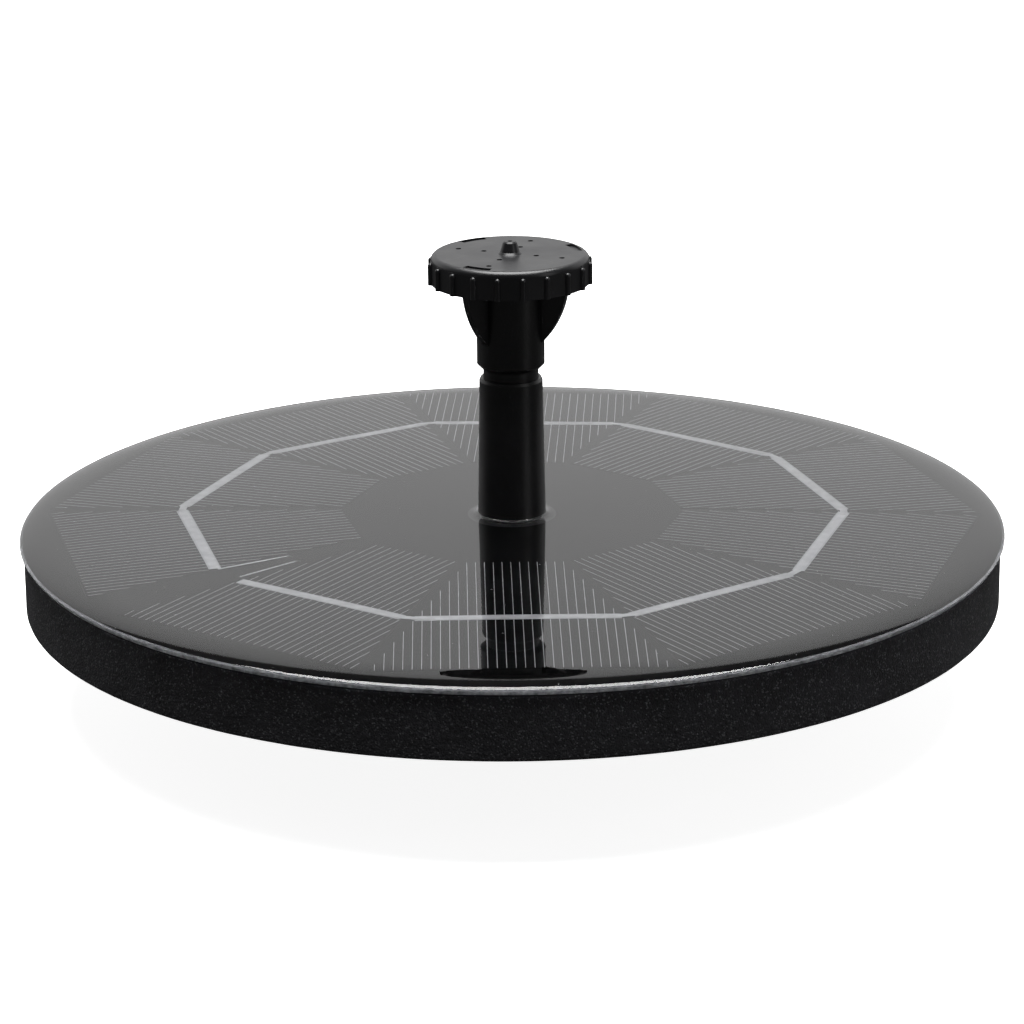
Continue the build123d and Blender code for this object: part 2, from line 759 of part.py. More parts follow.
# ---------------------------------------------------------------- intake grille and sponge
grille_back = cover_front - screw_head_height - grille_gap
grille_front = grille_back - grille_depth
grille_top = float_bottom - grille_clearance
grille_tall = grille_top - grille_bottom
grille_mid = shaft_height - (grille_top + grille_bottom) / 2
with BuildPart() as intake_grille:
    with BuildSketch(across(grille_back)):
        with Locations((0, grille_mid)):
            RectangleRounded(2 * grille_half_width, grille_tall, grille_corner)
    extrude(amount=-grille_depth)
    fillet(intake_grille.faces().sort_by(Axis.Y)[0].edges(), radius=grille_edge_radius)
    with BuildSketch(across(grille_back)):
        with Locations((0, grille_mid)):
            RectangleRounded(2 * (grille_half_width - grille_wall), grille_tall - 2 * grille_wall,
                             grille_corner - grille_wall)
    extrude(amount=grille_wall - grille_depth, mode=Mode.SUBTRACT)
    # upright slots in the front wall
    with BuildSketch(across(grille_front)):
        with Locations((0, grille_mid)):
            with GridLocations(grille_slot_pitch, 1, grille_slots, 1):
                SlotOverall(grille_tall - 4 * grille_wall, grille_slot_width, rotation=90)
    extrude(amount=grille_wall, mode=Mode.SUBTRACT)
    # and in both side walls
    with BuildSketch(Plane.YZ.offset(-grille_half_width - overrun)):
        with Locations(((grille_front + grille_back) / 2, (grille_top + grille_bottom) / 2)):
            with GridLocations(grille_slot_pitch, 1, side_slots, 1):
                SlotOverall(grille_tall - 5 * grille_wall, grille_slot_width, rotation=90)
    extrude(amount=2 * (grille_half_width + overrun), mode=Mode.SUBTRACT)
    # two spring arms reach back along the pump's sides
    for side in (-1, 1):
        inner = side * (pump_half_width + arm_clearance)
        with BuildSketch(Plane.XY.offset(shaft_height - arm_height / 2 - arm_drop)):
            with BuildLine():
                Polyline(
                    (side * (grille_half_width - grille_wall / 2), grille_back - arm_root),
                    (inner + side * arm_thickness, grille_back - arm_root + arm_thickness),
                    (inner + side * arm_thickness, grille_back + arm_length),
                    (inner, grille_back + arm_length),
                    (inner, grille_back),
                    (side * (grille_half_width - grille_wall / 2), grille_back),
                    close=True,
                )
            make_face()
        extrude(amount=arm_height)
save(intake_grille.part, "intake_grille")

sponge_wide = grille_half_width - grille_wall - sponge_clearance
with BuildPart() as filter_sponge:
    with BuildSketch(across(grille_back - sponge_back_gap)):
        with Locations((0, grille_mid)):
            RectangleRounded(2 * sponge_wide, grille_tall - 2 * (grille_wall + sponge_clearance),
                             sponge_corner)
    extrude(amount=-(grille_depth - grille_wall - sponge_back_gap - sponge_clearance))
save(filter_sponge.part, "filter_sponge")

# ---------------------------------------------------------------- riser tube
riser_top = top_height + riser_rise
with BuildPart() as riser_tube:
    with BuildSketch(Plane.XZ):
        with BuildLine():
            Polyline(
                (riser_bore, riser_seat),
                (riser_foot_radius - rim_break, riser_seat),
                (riser_foot_radius, riser_seat + rim_break),
                (riser_foot_radius, top_height + taper_start),
                (riser_tip_radius, riser_top - rim_break),
                (riser_tip_radius - rim_break / 2, riser_top),
                (riser_bore, riser_top),
                close=True,
            )
        make_face()
    revolve(axis=Axis.Z)
save(riser_tube.part, "riser_tube")

# ---------------------------------------------------------------- spray stem with its fins
cap_base = top_height + cap_base_rise
cap_top = cap_base + cap_height
skirt_base = riser_top + neck_gap
spigot_radius = riser_bore - spigot_clearance
cap_bore = cap_flat_radius * cos(pi / cap_ribs) - cap_wall
plate_base = cap_base + plate_recess
plate_top = plate_base + plate_thickness
with BuildPart() as spray_stem:
    with BuildSketch(Plane.XZ):
        with BuildLine():
            Polyline(
                (water_bore, riser_top - spigot_depth),
                (spigot_radius - rim_break, riser_top - spigot_depth),
                (spigot_radius, riser_top - spigot_depth + rim_break),
                (spigot_radius, skirt_base),
                (skirt_radius - skirt_chamfer, skirt_base),
                (skirt_radius, skirt_base + skirt_chamfer),
                (skirt_radius, plate_base),
                (cap_bore - plate_clearance, plate_base),
                (cap_bore - plate_clearance, plate_top),
                (water_bore, plate_top),
                close=True,
            )
        make_face()
    revolve(axis=Axis.Z)
    # three curved fins brace the plate
    for angle in fin_angles:
        fin_plane = Plane(origin=(0, 0, plate_base), x_dir=(*polar(1, angle), 0),
                          z_dir=(*polar(1, angle - 90), 0))
        with BuildSketch(fin_plane):
            with BuildLine():
                Line((skirt_radius - overrun, 0), (fin_reach, 0))
                ThreePointArc((fin_reach, 0),
                              (fin_reach - fin_bulge_in, -fin_bulge_share * fin_depth),
                              (skirt_radius - fin_foot, -fin_depth))
                Line((skirt_radius - fin_foot, -fin_depth), (skirt_radius - overrun, -fin_depth))
                Line((skirt_radius - overrun, -fin_depth), (skirt_radius - overrun, 0))
            make_face()
        extrude(amount=fin_thickness / 2, both=True)
save(spray_stem.part, "spray_stem")

# ---------------------------------------------------------------- cap seal
cap_ceiling = cap_top - cap_top_thickness
seal_outer = cap_bore - seal_clearance
with BuildPart() as cap_seal:
    with BuildSketch(Plane.XY.offset(plate_top)):
        Circle(seal_outer)
        Circle(seal_outer - seal_width, mode=Mode.SUBTRACT)
    extrude(amount=cap_ceiling - plate_top)
save(cap_seal.part, "cap_seal")

# ---------------------------------------------------------------- spray cap
with BuildPart() as spray_cap:
    with BuildSketch(Plane.XY.offset(cap_base)):
        RegularPolygon(cap_flat_radius, cap_ribs, rotation=cap_rotation)
    extrude(amount=cap_height - cap_edge_radius)
    with BuildSketch(Plane.XZ):
        with BuildLine():
            edge = cap_flat_radius * cos(pi / cap_ribs)
            lid_base = cap_top - cap_edge_radius - cap_lid_overlap
            Line((0, lid_base), (edge, lid_base))
            Line((edge, lid_base), (edge, cap_top - cap_edge_radius))
            RadiusArc((edge, cap_top - cap_edge_radius), (edge - cap_edge_radius, cap_top),
                      -cap_edge_radius)
            Line((edge - cap_edge_radius, cap_top), (0, cap_top))
            Line((0, cap_top), (0, lid_base))
        make_face()
    revolve(axis=Axis.Z)
    # grip ribs with rounded tops
    rib_centres = [polar(cap_flat_radius - rib_sink, cap_rotation + 360 / cap_ribs * n)
                   for n in range(cap_ribs)]
    with BuildSketch(Plane.XY.offset(cap_base)):
        with Locations(*rib_centres):
            Circle(rib_radius)
    extrude(amount=cap_height - rib_top_gap - rib_radius)
    with Locations(*[(x, y, cap_top - rib_top_gap - rib_radius) for x, y in rib_centres]):
        Sphere(rib_radius)
    # centre spike on a small flared foot
    with BuildSketch(Plane.XZ):
        with BuildLine():
            Polyline(
                (0, cap_top - spike_flare),
                (spike_foot + spike_flare, cap_top - spike_flare),
                (spike_foot + spike_flare, cap_top),
                (spike_foot, cap_top + spike_flare),
                (spike_tip, cap_top + spike_height - spike_bevel),
                (spike_tip - spike_bevel, cap_top + spike_height),
                (0, cap_top + spike_height),
                close=True,
            )
        make_face()
    revolve(axis=Axis.Z)
    # hollow inside: it fits over the plate, and the water spreads above the plate
    with BuildSketch(Plane.XY.offset(cap_base)):
        Circle(cap_bore)
    extrude(amount=cap_height - cap_top_thickness, mode=Mode.SUBTRACT)
    with BuildSketch(Plane.XY.offset(cap_base)):
        Circle(spike_hole)
        for ring in spray_rings:
            with PolarLocations(ring, holes_per_ring, start_angle=spray_start):
                Circle(spray_hole)
    extrude(amount=cap_height + spike_height, mode=Mode.SUBTRACT)
    # three shallow arc recesses near the rim
    with BuildSketch(Plane.XY.offset(cap_top)):
        for angle in mark_angles:
            span = mark_length / mark_radius / pi * 180
            with BuildLine():
                CenterArc((0, 0), mark_radius, angle - span / 2, span)
            trace(line_width=mark_width)
    extrude(amount=-mark_depth, mode=Mode.SUBTRACT)
save(spray_cap.part, "spray_cap")
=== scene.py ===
"""Looks of a floating solar fountain: the clear resin, the foam float, the sponge, the cells'
printed silver grid, every finish, the studio and the camera. Metres, in the part's own frame:
+Z up, origin under the riser tube. Sizes written in millimetres are multiplied by MM."""
import json
from math import cos, pi, radians, sin, tan

import bpy
import numpy as np
from mathutils import Matrix, Vector


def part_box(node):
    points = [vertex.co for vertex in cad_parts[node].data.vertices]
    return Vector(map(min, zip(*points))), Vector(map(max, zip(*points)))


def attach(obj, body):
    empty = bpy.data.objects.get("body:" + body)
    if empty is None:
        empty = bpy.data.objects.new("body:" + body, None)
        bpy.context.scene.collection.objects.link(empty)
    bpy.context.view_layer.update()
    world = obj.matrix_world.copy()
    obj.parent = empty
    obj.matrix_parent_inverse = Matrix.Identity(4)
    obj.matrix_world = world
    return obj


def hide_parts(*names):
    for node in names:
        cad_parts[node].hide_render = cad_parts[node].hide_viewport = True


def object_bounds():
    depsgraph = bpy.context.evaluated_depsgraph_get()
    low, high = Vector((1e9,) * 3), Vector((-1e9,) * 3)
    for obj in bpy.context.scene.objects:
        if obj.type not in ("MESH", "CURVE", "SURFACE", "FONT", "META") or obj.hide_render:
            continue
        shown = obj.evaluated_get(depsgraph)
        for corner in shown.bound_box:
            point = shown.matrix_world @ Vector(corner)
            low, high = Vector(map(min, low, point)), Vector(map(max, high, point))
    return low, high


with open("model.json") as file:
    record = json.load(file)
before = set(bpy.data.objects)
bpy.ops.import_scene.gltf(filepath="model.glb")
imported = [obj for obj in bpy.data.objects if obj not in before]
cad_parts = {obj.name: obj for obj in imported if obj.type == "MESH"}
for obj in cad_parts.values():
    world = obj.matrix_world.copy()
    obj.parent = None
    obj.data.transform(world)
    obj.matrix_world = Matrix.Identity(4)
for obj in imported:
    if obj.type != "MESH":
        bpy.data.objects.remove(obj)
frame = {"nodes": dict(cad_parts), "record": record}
cad_low, cad_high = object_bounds()
MM = 0.001

# ------------------------------------------------------------------ sizes shared with the frame
resin_low, resin_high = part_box("resin_dome")
foam_low, foam_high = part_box("float_ring")
tube_low, tube_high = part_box("riser_tube")
PANEL_RADIUS = (resin_high.x - resin_low.x) / 2
DISC_Y = (resin_high.y + resin_low.y) / 2      # the panel's centre lies behind the riser
RESIN_TOP = resin_high.z
BOW_RADIUS = 2344 * MM
RESIN_COVER = 0.95 * MM
BOARD_THICKNESS = 0.8 * MM
TAPE_THICKNESS = 0.25 * MM
RIM_WIDTH = 7.0 * MM                            # stretch over which the resin rounds down
RIM_DROP = 0.9 * MM
FOAM_RADIUS = (foam_high.x - foam_low.x) / 2
FOAM_BOTTOM = foam_low.z
TUBE_RADIUS = (tube_high.x - tube_low.x) / 2
BOARD_TOP = RESIN_TOP - RESIN_COVER
TAPE_BOTTOM = BOARD_TOP - BOARD_THICKNESS - TAPE_THICKNESS
CELL_THICKNESS = 0.25 * MM
CELL_TOP = BOARD_TOP + CELL_THICKNESS

CELL_ANGLES = [235.3, 270.9, 306.1, 342.1, 377.0, 411.9, 447.5, 483.0, 518.2, 553.9]
CELL_PITCH = 34.9
CELL_GAP = 0.8 * MM
CELL_INNER = 26.5 * MM
CELL_OUTER = 73.0 * MM
FINGER_PITCH = 1.38 * MM
FINGER_WIDTH = 0.11 * MM
FINGER_THICKNESS = 0.02 * MM
FINGER_MARGIN = 0.35 * MM                       # bare silicon beyond the fingers' ends
RIBBON_DISTANCE = 51.85 * MM
RIBBON_LENGTH = 31.2 * MM
RIBBON_WIDTH = 1.4 * MM
SOLDER_EDGE = 0.28 * MM                         # bright bead of solder along each ribbon
SOLDER_HEIGHT = 0.12 * MM
TUBE_CLEARANCE = 0.04 * MM                      # between the riser and the resin
MENISCUS_HEIGHT = 0.32 * MM                     # resin drawn up at the riser
MENISCUS_REACH = 0.45 * MM
CENTRE_SHIFT_REACH = 20 * MM                    # rings' centres move to the panel's over this
UNDERLAP = 0.02 * MM                            # the resin dips this far into the board
FOAM_EDGE = 0.35 * MM                           # softened lower edge of the foam
# the pump's hole in the foam and the pocket for its leads: left, right, front and back, in mm
FOAM_OPENINGS = [(-15.6, 15.6, -10.1, 24.6), (-22.2, -15.0, 5.0, 18.0)]
OPENING_CENTRE = (-5 * MM, 12 * MM)             # a point that sees all of both


def bow(r):
    """Height lost to the panel's bow at distance r from its centre: a large sphere."""
    return BOW_RADIUS - np.sqrt(BOW_RADIUS ** 2 - r ** 2)


# ------------------------------------------------------------------ mesh making
def smoothstep(t):
    """Eases from 0 to 1, level at both ends."""
    t = np.clip(t, 0, 1)
    return t * t * (3 - 2 * t)


def ripple(x, y, z, wavelength, seed):
    """Soft random-looking height from -1 to 1: the mean of nine sine waves of nearly equal
    wavelength, each running in its own random direction with its own phase."""
    rng = np.random.default_rng(seed)
    total = 0
    for _ in range(9):
        direction = rng.normal(size=3)
        direction /= np.linalg.norm(direction)
        length = wavelength * rng.uniform(0.7, 1.4)
        along = direction[0] * x + direction[1] * y + direction[2] * z
        total = total + np.sin(2 * pi * along / length + rng.uniform(0, 2 * pi))
    return total / 9


def mesh_object(name, points, faces, material, body, smooth=True):
    """Makes an object from points and four-cornered faces, and lets it ride on a body."""
    mesh = bpy.data.meshes.new(name)
    mesh.vertices.add(len(points))
    mesh.vertices.foreach_set("co", np.asarray(points, np.float32).ravel())
    mesh.loops.add(faces.size)
    mesh.loops.foreach_set("vertex_index", faces.astype(np.int32).ravel())
    mesh.polygons.add(len(faces))
    mesh.polygons.foreach_set("loop_start", np.arange(0, faces.size, 4, dtype=np.int32))
    mesh.polygons.foreach_set("use_smooth", np.full(len(faces), smooth))
    mesh.update()
    mesh.validate()
    piece = bpy.data.objects.new(name, mesh)
    bpy.context.scene.collection.objects.link(piece)
    mesh.materials.append(material)
    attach(piece, body)
    return piece


def closed_rings(grid):
    """Points and faces of grid[row, column], a surface that closes on itself both ways."""
    rows, columns = grid.shape[:2]
    index = np.arange(rows * columns).reshape(rows, columns)
    here = index
    right = np.roll(index, -1, axis=1)
    up = np.roll(index, -1, axis=0)
    both = np.roll(up, -1, axis=1)
    faces = np.stack([here, right, both, up], axis=-1).reshape(-1, 4)
    return grid.reshape(-1, 3), faces


# ------------------------------------------------------------------ materials
def linear(hex_colour):
    """Turns an sRGB hex colour into linear RGBA."""
    srgb = [int(hex_colour[i:i + 2], 16) / 255 for i in (1, 3, 5)]
    return [c / 12.92 if c <= 0.04045 else ((c + 0.055) / 1.055) ** 2.4 for c in srgb] + [1.0]


def add(tree, kind, inputs=None, **settings):
    """Adds one shader node: settings are its options, and inputs maps a socket to a value or
    to the output that feeds it."""
    made = tree.nodes.new(kind)
    for option, value in settings.items():
        setattr(made, option, value)
    for socket, value in (inputs or {}).items():
        if isinstance(value, bpy.types.NodeSocket):
            tree.links.new(value, made.inputs[socket])
        else:
            made.inputs[socket].default_value = value
    return made


def blank(name):
    """A new node material: its tree, its Principled shader and its object coordinates."""
    made = bpy.data.materials.new(name)
    made.use_nodes = True
    tree = made.node_tree
    shader = tree.nodes["Principled BSDF"]
    place = add(tree, "ShaderNodeTexCoord").outputs["Object"]
    return made, tree, shader, place


def noise(tree, place, size, detail=3.0, roughness=0.5):
    """Noise whose blotches are about this size, in metres."""
    return add(tree, "ShaderNodeTexNoise", {
        "Vector": place, "Scale": 1 / size, "Detail": detail, "Roughness": roughness,
    }).outputs["Fac"]


def spread(tree, value, low, high, start=0.3, end=0.7):
    """Maps a pattern's usual range to low ... high."""
    return add(tree, "ShaderNodeMapRange", {
        "Value": value, "From Min": start, "From Max": end, "To Min": low, "To Max": high,
    }).outputs["Result"]


def blend_colours(tree, share, first, second):
    """The first hex colour where share is 0, the second where it is 1."""
    return add(tree, "ShaderNodeMix", {0: share, 6: linear(first), 7: linear(second)},
               data_type="RGBA").outputs[2]


def finish(name, dark, light, rough, grain, height, drift=6.0, metallic=0.0, ior=1.5, spec=0.5):
    """A moulded, cast or machined surface. Its colour drifts from dark to light in blotches of
    drift mm, its roughness between the two values of rough with them, and its fine texture is
    grain mm across and height mm deep."""
    made, tree, shader, place = blank(name)
    blotches = noise(tree, place, drift * MM)
    fine = noise(tree, place, grain * MM, detail=2.0)
    shader.inputs["Metallic"].default_value = metallic
    if not metallic:
        shader.inputs["IOR"].default_value = ior
    shader.inputs["Specular IOR Level"].default_value = spec
    links = tree.links
    links.new(blend_colours(tree, spread(tree, blotches, 0, 1), dark, light),
              shader.inputs["Base Color"])
    links.new(spread(tree, blotches, rough[0], rough[1]), shader.inputs["Roughness"])
    bump = add(tree, "ShaderNodeBump", {"Height": fine, "Distance": height * MM, "Strength": 1.0})
    links.new(bump.outputs["Normal"], shader.inputs["Normal"])
    return made


def cast_epoxy():
    """Clear cast epoxy: glassy gloss over a dark depth, with a few dust motes in the skin."""
    made, tree, shader, place = blank("clear cast epoxy")
    shader.inputs["Base Color"].default_value = linear("#F6F7F8")
    shader.inputs["Transmission Weight"].default_value = 1.0
    shader.inputs["IOR"].default_value = 1.5
    motes = add(tree, "ShaderNodeTexVoronoi", {"Vector": place, "Scale": 1 / (2.4 * MM)},
                feature="F1").outputs["Distance"]
    pimple = spread(tree, motes, 1.0, 0.0, 0.0, 0.07)
    tree.links.new(spread(tree, pimple, 0.015, 0.4, 0.0, 1.0), shader.inputs["Roughness"])
    bump = add(tree, "ShaderNodeBump", {"Height": pimple, "Distance": 0.02 * MM, "Strength": 1.0})
    tree.links.new(bump.outputs["Normal"], shader.inputs["Normal"])
    return made


def silicon_wafer():
    """Etched, coated silicon under the resin: nearly black and faintly blue, with hardly any
    reflection of its own."""
    return finish("etched silicon", "#030305", "#060709", (0.32, 0.42), 0.3, 0.01, drift=9.0,
                  spec=0.04)


def cut_foam():
    """Cut closed-cell EVA: matt black, pitted by opened cells 0.2 to 0.3 mm across, with painted
    glints: a few random cells are painted light grey where their thin walls would catch points
    of light. Real cells are nearer 0.1 mm; they are drawn coarser."""
    made, tree, shader, place = blank("cut EVA foam")
    cells = add(tree, "ShaderNodeTexVoronoi", {"Vector": place, "Scale": 1 / (0.3 * MM)},
                feature="F1").outputs["Distance"]
    # painted highlight: random cells picked here are painted light grey as glints on the cell
    # walls
    painted_glint_cells = add(tree, "ShaderNodeTexVoronoi", {"Vector": place, "Scale": 1 / (0.22 * MM)},
                 feature="F1").outputs["Color"]
    painted_glint_pick = add(tree, "ShaderNodeSeparateColor", {"Color": painted_glint_cells}).outputs["Red"]
    blotches = noise(tree, place, 7 * MM)
    painted_glint_mask = spread(tree, painted_glint_pick, 0, 1, 0.86, 1.0)
    base = blend_colours(tree, spread(tree, blotches, 0, 1), "#1C1C1F", "#2A2A2E")
    # mixes the painted glints, light grey, into the foam's own dark blotches
    shown = add(tree, "ShaderNodeMix", {0: painted_glint_mask, 6: base, 7: linear("#5C5D60")}, data_type="RGBA")
    tree.links.new(shown.outputs[2], shader.inputs["Base Color"])
    shader.inputs["Roughness"].default_value = 0.82
    shader.inputs["IOR"].default_value = 1.49
    lumps = spread(tree, noise(tree, place, 0.9 * MM), 0, 0.6)
    depth = add(tree, "ShaderNodeMath", {0: cells, 1: lumps}, operation="ADD").outputs[0]
    bump = add(tree, "ShaderNodeBump", {"Height": depth, "Distance": 0.12 * MM, "Strength": 1.0})
    tree.links.new(bump.outputs["Normal"], shader.inputs["Normal"])
    return made


def board_laminate():
    """Black-masked glass-epoxy board: even and black on its faces, and at its sawn edge mottled
    grey, where glass fibre shows through."""
    made, tree, shader, place = blank("glass epoxy laminate")
    normal = add(tree, "ShaderNodeNewGeometry").outputs["Normal"]
    upright = add(tree, "ShaderNodeSeparateXYZ", {"Vector": normal}).outputs["Z"]
    flat = add(tree, "ShaderNodeMath", {0: upright}, operation="ABSOLUTE").outputs[0]
    sawn = spread(tree, flat, 1, 0, 0.3, 0.7)
    fibre = noise(tree, place, 0.9 * MM, detail=4.0, roughness=0.7)
    edge = blend_colours(tree, spread(tree, fibre, 0, 1), "#55565A", "#A6A7AB")
    face = blend_colours(tree, spread(tree, fibre, 0, 1), "#020203", "#050506")
    shown = add(tree, "ShaderNodeMix", {0: sawn, 6: face, 7: edge}, data_type="RGBA").outputs[2]
    tree.links.new(shown, shader.inputs["Base Color"])
    shader.inputs["Roughness"].default_value = 0.5
    shader.inputs["IOR"].default_value = 1.55
    # the resin wets its face, so that only the sawn edge reflects
    tree.links.new(spread(tree, sawn, 0.04, 0.5, 0, 1), shader.inputs["Specular IOR Level"])
    bump = add(tree, "ShaderNodeBump", {"Height": fibre, "Distance": 0.05 * MM, "Strength": 1.0})
    tree.links.new(bump.outputs["Normal"], shader.inputs["Normal"])
    return made


def open_cell_sponge():
    """Reticulated filter sponge: dark grey, matt, with open pores about 1 mm across, whose insides
    are painted near black as shade in the holes.
    """
    made, tree, shader, place = blank("open cell sponge")
    pores = add(tree, "ShaderNodeTexVoronoi", {"Vector": place, "Scale": 1 / (1.0 * MM)},
                feature="DISTANCE_TO_EDGE").outputs["Distance"]
    # painted shade: pore centres are painted near black and walls dark grey; the same mask also
    # raises the walls as bump
    wall = spread(tree, pores, 1, 0, 0.02, 0.22)
    tree.links.new(blend_colours(tree, wall, "#08080A", "#2E2F33"), shader.inputs["Base Color"])
    shader.inputs["Roughness"].default_value = 0.9
    shader.inputs["IOR"].default_value = 1.48
    bump = add(tree, "ShaderNodeBump", {"Height": wall, "Distance": 0.4 * MM, "Strength": 1.0})
    tree.links.new(bump.outputs["Normal"], shader.inputs["Normal"])
    return made


MATERIALS = {
    "clear_resin": cast_epoxy(),
    "silicon_cell": silicon_wafer(),
    "board_laminate": board_laminate(),
    "eva_foam": cut_foam(),
    "filter_foam": open_cell_sponge(),
    # hot-dipped copper ribbon: slightly uneven tin, dulled under the resin
    "tinned_copper": finish("tinned copper", "#A5A6A9", "#BDBEC0", (0.3, 0.45), 0.4, 0.01, 2.0,
                            1.0),
    # silicone adhesive: black, waxy sheen
    "silicone_bond": finish("silicone adhesive", "#0D0D0E", "#141415", (0.35, 0.5), 1.2, 0.05,
                            ior=1.41),
    # acrylic foam tape: matt black edge
    "foam_tape": finish("acrylic foam tape", "#08080A", "#0E0E10", (0.6, 0.75), 0.3, 0.02,
                        ior=1.48),
    # moulded ABS pump shell: fine spark-eroded satin
    "pump_shell": finish("moulded ABS", "#121214", "#18181A", (0.38, 0.5), 0.25, 0.012, 9.0,
                         ior=1.54),
    # moulded ABS nozzle parts: a finer satin, nearly black
    "nozzle_plastic": finish("satin ABS", "#0B0B0D", "#101013", (0.3, 0.42), 0.3, 0.012, 7.0,
                             ior=1.54),
    # moulded rubber: matt, barely reflecting
    "gland_rubber": finish("moulded rubber", "#101011", "#18181A", (0.6, 0.75), 0.3, 0.02,
                           ior=1.52),
    # PVC sleeve: smooth, slightly greasy
    "wire_sleeve": finish("PVC sleeve", "#0C0C0D", "#131315", (0.3, 0.45), 0.5, 0.01,
                          ior=1.53),
    # solder: bright, with dull frosted patches
    "solder": finish("solder", "#A7A8AA", "#CFD0D1", (0.2, 0.45), 0.5, 0.04, 1.5, 1.0),
    # stamped laminations: blue-grey steel with a dull insulating coat
    "silicon_steel": finish("silicon steel", "#6E7276", "#8A8E92", (0.4, 0.55), 0.5, 0.01, 3.0,
                            1.0),
    # enamelled winding wire: warm copper with a glossy amber coat
    "enamelled_copper": finish("enamelled copper", "#8E4320", "#B8622F", (0.2, 0.32), 0.35, 0.06,
                               2.0, 1.0),
    # solder-masked laminate: even green, half gloss
    "driver_laminate": finish("green laminate", "#0D3A1B", "#15502A", (0.3, 0.45), 0.6, 0.01, 4.0),
    # epoxy chip package: dark grey, dull
    "chip_resin": finish("chip package", "#111113", "#1B1B1D", (0.45, 0.6), 0.2, 0.01, 2.0,
                         ior=1.56),
    # black potting epoxy: glossy, settled level, faint swirls
    "potting_resin": finish("potting epoxy", "#0A0A0C", "#111114", (0.12, 0.25), 4.0, 0.06, 8.0,
                            ior=1.55),
    # ground steel: the smoothest metal here
    "shaft_steel": finish("ground steel", "#B5B7B9", "#CACBCD", (0.12, 0.2), 0.2, 0.004, 3.0, 1.0),
    # natural acetal: off-white, slightly waxy
    "bush_plastic": finish("acetal", "#D9D8D0", "#E6E5DE", (0.3, 0.4), 0.4, 0.01, ior=1.48),
    # sintered ferrite: charcoal grey, finely granular
    "ferrite": finish("sintered ferrite", "#2B2B2E", "#3B3B3F", (0.45, 0.6), 0.2, 0.02, 2.0),
    # white acetal: cooler and cleaner than the bushes
    "impeller_plastic": finish("white acetal", "#C9CBCA", "#DCDEDC", (0.3, 0.42), 0.5, 0.01,
                               ior=1.48),
    # nitrile rubber: matt black, a trace of oil
    "seal_rubber": finish("nitrile rubber", "#0E0E0F", "#161617", (0.5, 0.65), 0.3, 0.02,
                          ior=1.52),
    # stainless screws: bright, lightly brushed by the driver
    "screw_steel": finish("stainless steel", "#9FA1A3", "#BDBFC1", (0.22, 0.35), 0.25, 0.008, 2.0,
                          1.0),
}
# screen-printed silver paste: pale, slightly rough, not a mirror
SILVER_PASTE = finish("silver paste", "#8E8F92", "#A5A6A9", (0.4, 0.55), 0.2, 0.01, 2.0, ior=1.5)

for part in frame["record"]["subparts"]:
    mesh = frame["nodes"][part["node"]].data
    mesh.materials.clear()
    mesh.materials.append(MATERIALS[part["material_slot"]])


# ------------------------------------------------------------------ clear resin
def eccentric_rings(radii, columns):
    """Plan positions on rings of the given radii. The smallest ring is round the riser, and the
    rings' centres move to the panel's centre over the first CENTRE_SHIFT_REACH."""
    angle = np.linspace(0, 2 * pi, columns, endpoint=False)
    shift = DISC_Y * smoothstep((radii - radii.min()) / CENTRE_SHIFT_REACH)
    x = radii[:, None] * np.cos(angle)
    y = radii[:, None] * np.sin(angle) + shift[:, None]
    return x, y


def make_resin():
    """The resin's skin: radius runs out over the bowed top, round the rim and back along the
    board. The rim adds a quarter ellipse's drop, and at the riser a small meniscus climbs by
    an exponential."""
    columns = 512
    hole = TUBE_RADIUS + TUBE_CLEARANCE
    inner = hole + np.linspace(0, 1, 24) ** 2 * 6 * MM
    middle = np.linspace(inner[-1], PANEL_RADIUS - RIM_WIDTH, 60)[1:]
    turn = np.linspace(0, pi / 2, 40)[1:]
    rim = PANEL_RADIUS - RIM_WIDTH * (1 - np.sin(turn))
    top = np.concatenate([inner, middle, rim])
    drop = np.concatenate([0 * inner, 0 * middle, RIM_DROP * (1 - np.cos(turn))])
    climb = MENISCUS_HEIGHT * np.exp(-(top - hole) / MENISCUS_REACH)
    x, y = eccentric_rings(top, columns)
    out = np.hypot(x, y - DISC_Y)
    z = RESIN_TOP - bow(out) - drop[:, None] + climb[:, None]
    under = np.array([PANEL_RADIUS, PANEL_RADIUS - 1 * MM, 40 * MM, 20 * MM, hole])
    ux, uy = eccentric_rings(under, columns)
    uz = BOARD_TOP - UNDERLAP - bow(np.hypot(ux, uy - DISC_Y))
    grid = np.concatenate([np.stack([x, y, z], -1), np.stack([ux, uy, uz], -1)])
    points, faces = closed_rings(grid[::-1])
    resin = mesh_object("clear_resin_skin", points, faces, MATERIALS["clear_resin"], "float")
    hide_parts("resin_dome")


make_resin()


# ------------------------------------------------------------------ printed silver grid
def square_bars(name, centres, ends, directions, width, thickness, material):
    """Thin straight bars with square ends that follow the bow: each runs from its centre by
    ends[0] to ends[1] along its direction, in eight steps."""
    share = np.linspace(0, 1, 9)
    along = ends[:, :1] + (ends[:, 1:] - ends[:, :1]) * share
    sides = np.array([-1, 1, 1, -1]) * width / 2
    lifts = np.array([0, 0, 1, 1]) * thickness
    dx, dy = directions[:, 0, None, None], directions[:, 1, None, None]
    x = centres[:, 0, None, None] + along[:, :, None] * dx - sides * dy
    y = centres[:, 1, None, None] + along[:, :, None] * dy + sides * dx
    z = CELL_TOP - bow(np.hypot(x, y)) + lifts
    bars = np.stack([x, y + DISC_Y, z], -1)
    index = np.arange(bars[..., 0].size).reshape(bars.shape[:3])
    near, far = index[:, :-1], index[:, 1:]
    walls = np.stack([near, np.roll(near, -1, 2), np.roll(far, -1, 2), far], -1).reshape(-1, 4)
    faces = np.concatenate([walls, index[:, 0, ::-1], index[:, -1]])
    mesh_object(name, bars.reshape(-1, 3), faces, material, "float",
                smooth=False)


